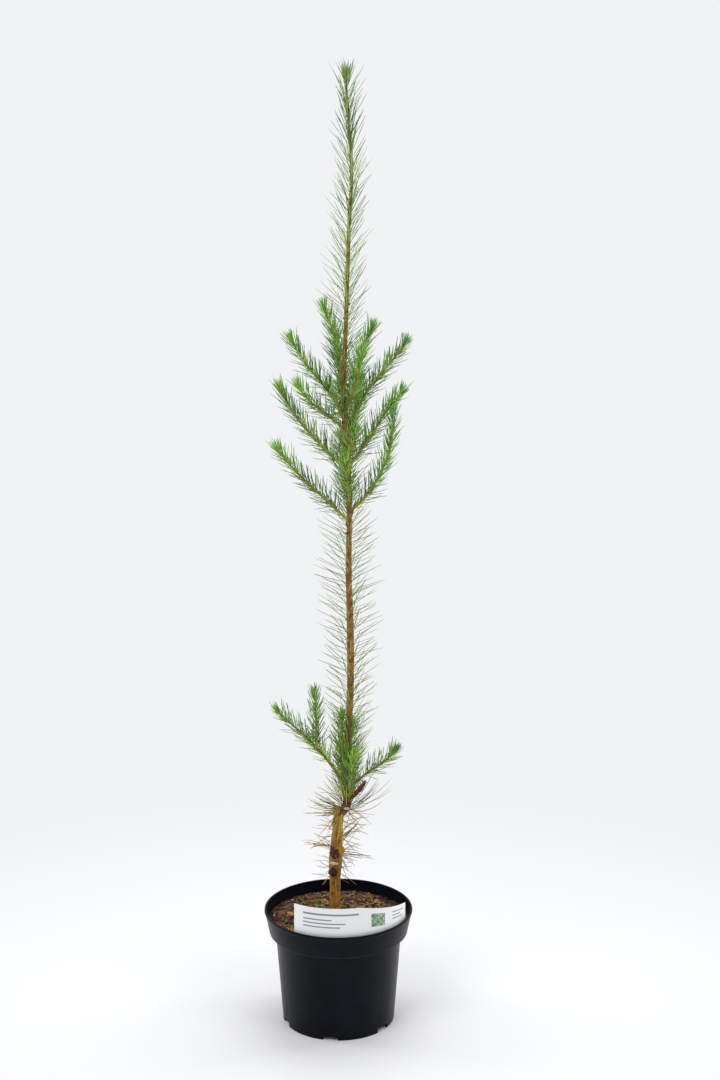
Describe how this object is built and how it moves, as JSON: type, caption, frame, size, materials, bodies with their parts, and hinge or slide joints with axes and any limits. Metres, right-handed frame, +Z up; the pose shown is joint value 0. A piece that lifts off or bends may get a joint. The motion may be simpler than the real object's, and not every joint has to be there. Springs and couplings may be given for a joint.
{
  "type": "potted japanese larch",
  "caption": "Slim upright young japanese larch with a bent stem and upswept side shoots, in a round black nursery pot with a card label.",
  "frame": {"origin": "centre of the pot's foot, on the surface that it stands on", "axes": "+Z up along the tree, -Y towards the front of the picture, +X to its right"},
  "size_m": [0.1886, 0.1886, 1.194],
  "materials": {
    "pot": "injection moulded black polypropylene, semi-gloss",
    "soil": "dry bark and peat potting mix with bits of moss",
    "label": "white plastic card with plain grey rules and a mottled green panel",
    "bark": "ochre to red-brown ridged bark with bud bases, a knot and pale scars",
    "young_bark": "golden brown young bark",
    "shoot_needles": "short dense needles, grey-green with bright green tips",
    "leader_needles": "long single needles, blue-green to green",
    "straw_needles": "yellowing and straw-coloured needles",
    "dead": "dry scaly red-brown dead shoot"
  },
  "bodies": {
    "root": {"bough_back_1": "young_bark", "bough_back_2": "young_bark", "bough_back_3": "young_bark", "bough_front_1": "young_bark", "bough_front_2": "young_bark", "bough_front_3": "young_bark", "bough_front_4": "young_bark", "bough_left_1": "young_bark", "bough_left_2": "young_bark", "bough_left_3": "young_bark", "bough_left_4": "young_bark", "bough_left_5": "young_bark", "bough_low_back": "young_bark", "bough_low_front": "young_bark", "bough_low_left": "young_bark", "bough_low_right": "young_bark", "bough_low_upright": "young_bark", "bough_right_1": "young_bark", "bough_right_2": "young_bark", "bough_right_3": "young_bark", "bough_right_4": "young_bark", "dead_shoot": "dead", "label": "label", "leader_needles_crown": "leader_needles", "leader_needles_low": "leader_needles", "leader_needles_middle": "leader_needles", "leader_needles_top": "leader_needles", "needles_back_1": "shoot_needles", "needles_back_2": "shoot_needles", "needles_back_3": "shoot_needles", "needles_front_1": "shoot_needles", "needles_front_2": "shoot_needles", "needles_front_3": "shoot_needles", "needles_front_4": "shoot_needles", "needles_left_1": "shoot_needles", "needles_left_2": "shoot_needles", "needles_left_3": "shoot_needles", "needles_left_4": "shoot_needles", "needles_left_5": "shoot_needles", "needles_low_back": "shoot_needles", "needles_low_front": "shoot_needles", "needles_low_left": "shoot_needles", "needles_low_left_upright": "shoot_needles", "needles_low_right": "shoot_needles", "needles_low_upright": "shoot_needles", "needles_right_1": "shoot_needles", "needles_right_2": "shoot_needles", "needles_right_3": "shoot_needles", "needles_right_4": "shoot_needles", "pot": "pot", "soil": "soil", "stem_needles_high": "straw_needles", "stem_needles_low": "straw_needles", "trunk": "bark"}
  },
  "joints": []
}
